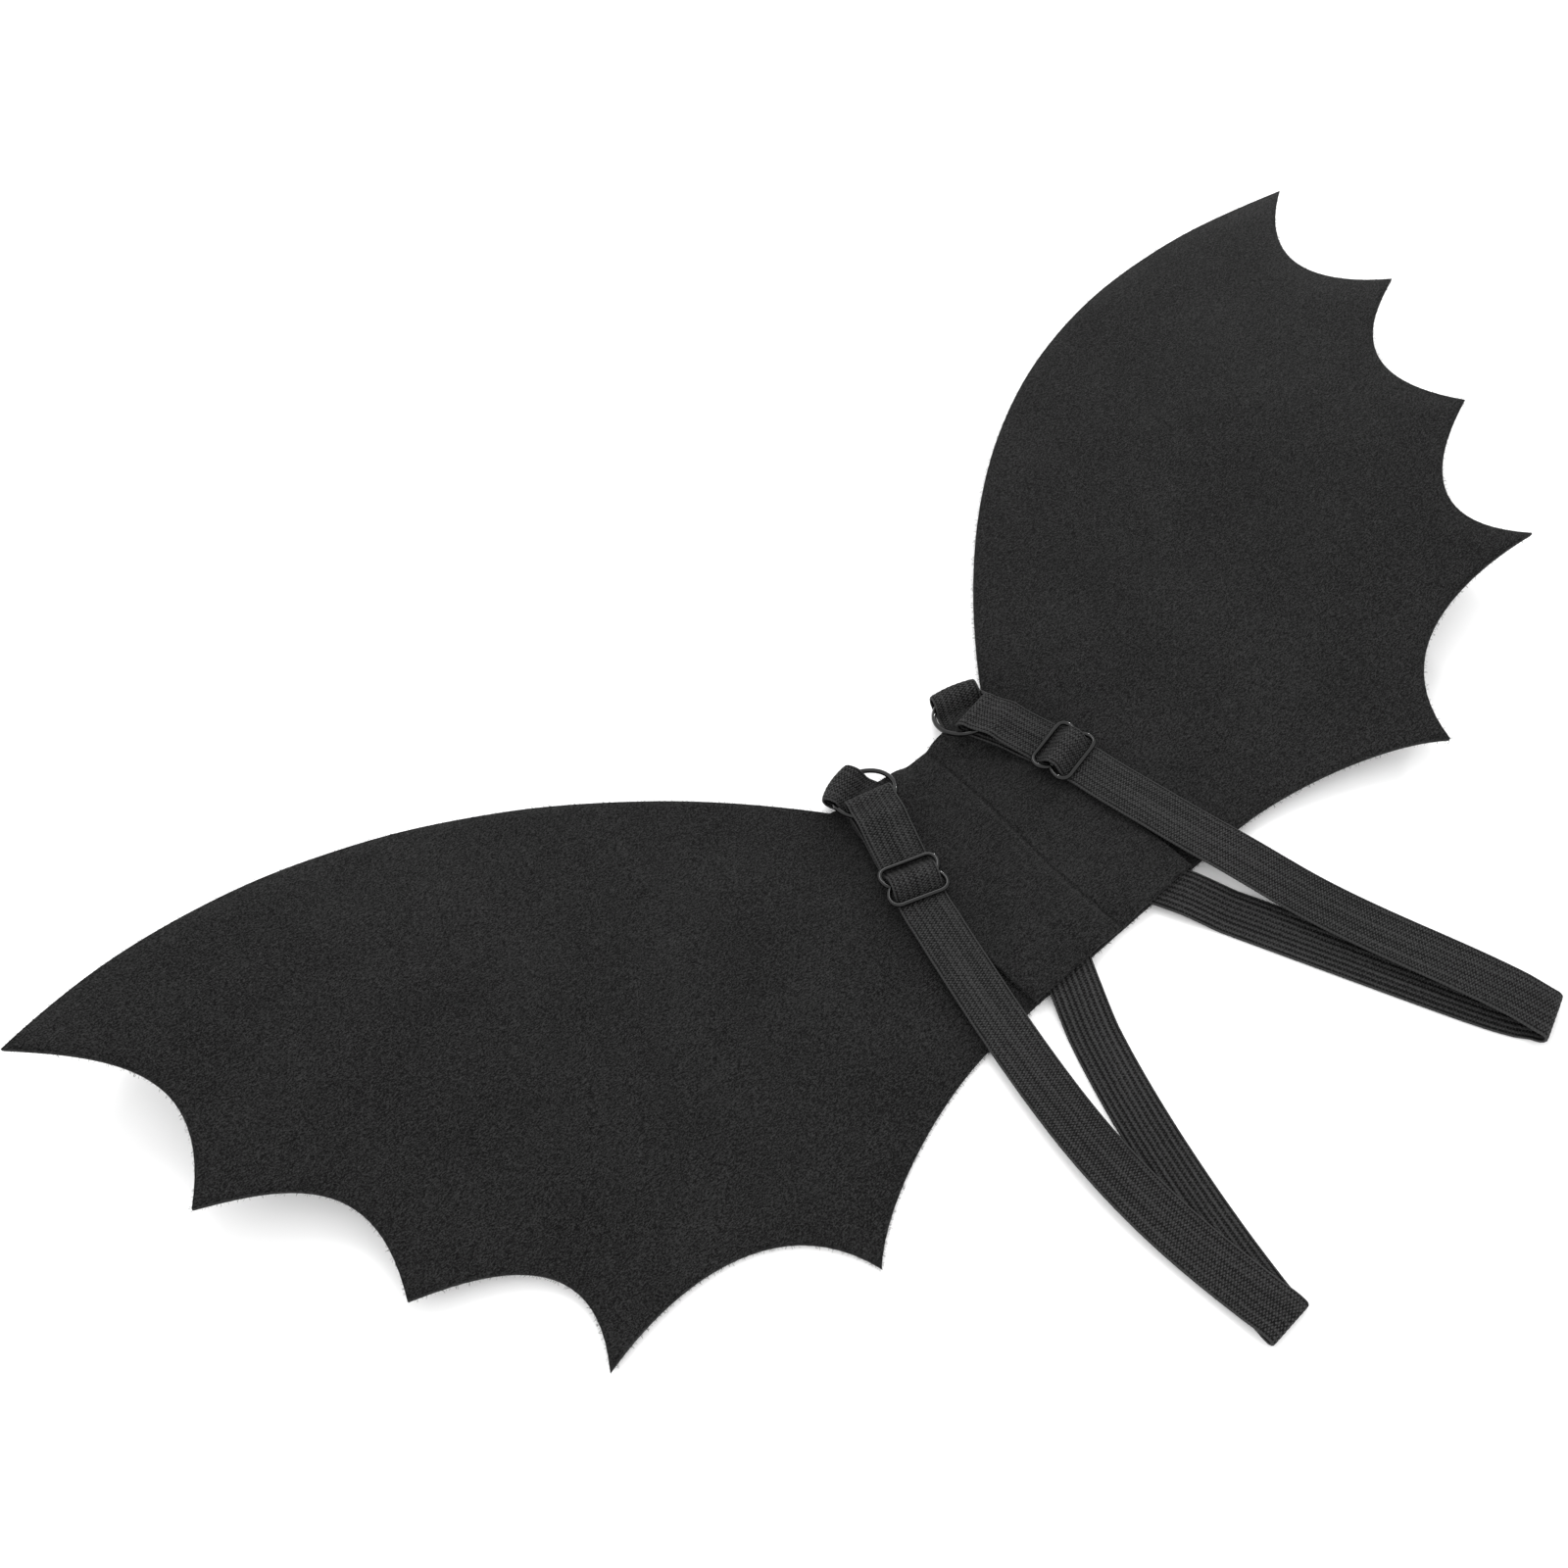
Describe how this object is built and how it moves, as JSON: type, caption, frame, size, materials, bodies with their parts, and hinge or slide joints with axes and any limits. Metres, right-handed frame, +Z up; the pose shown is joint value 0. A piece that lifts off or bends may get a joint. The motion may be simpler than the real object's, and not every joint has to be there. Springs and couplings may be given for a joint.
{
  "type": "costume bat wings",
  "caption": "One-piece scalloped felt bat wings with a felt back patch, adjustable elastic shoulder straps, wire sliders and wire rings, lying flat.",
  "frame": {"origin": "middle of the wing panel's underside, on the floor that it lies on, on the centre line and halfway between the neck and the lower edge", "axes": "+X to the wing on the viewer's right, +Y to the neck edge, +Z up from the floor, on the strap side"},
  "size_m": [0.6897, 0.382, 0.0586],
  "materials": {
    "felt": "black needle felt, matt and slightly fuzzy",
    "elastic": "black woven elastic with ribs along its length",
    "wire": "black satin coated steel wire"
  },
  "bodies": {
    "root": {"wing_panel": "felt", "back_patch": "felt", "strap_left": "elastic", "strap_right": "elastic", "ring_tab_left": "elastic", "ring_tab_right": "elastic", "slider_left": "wire", "slider_right": "wire", "ring_left": "wire", "ring_right": "wire"}
  },
  "joints": []
}
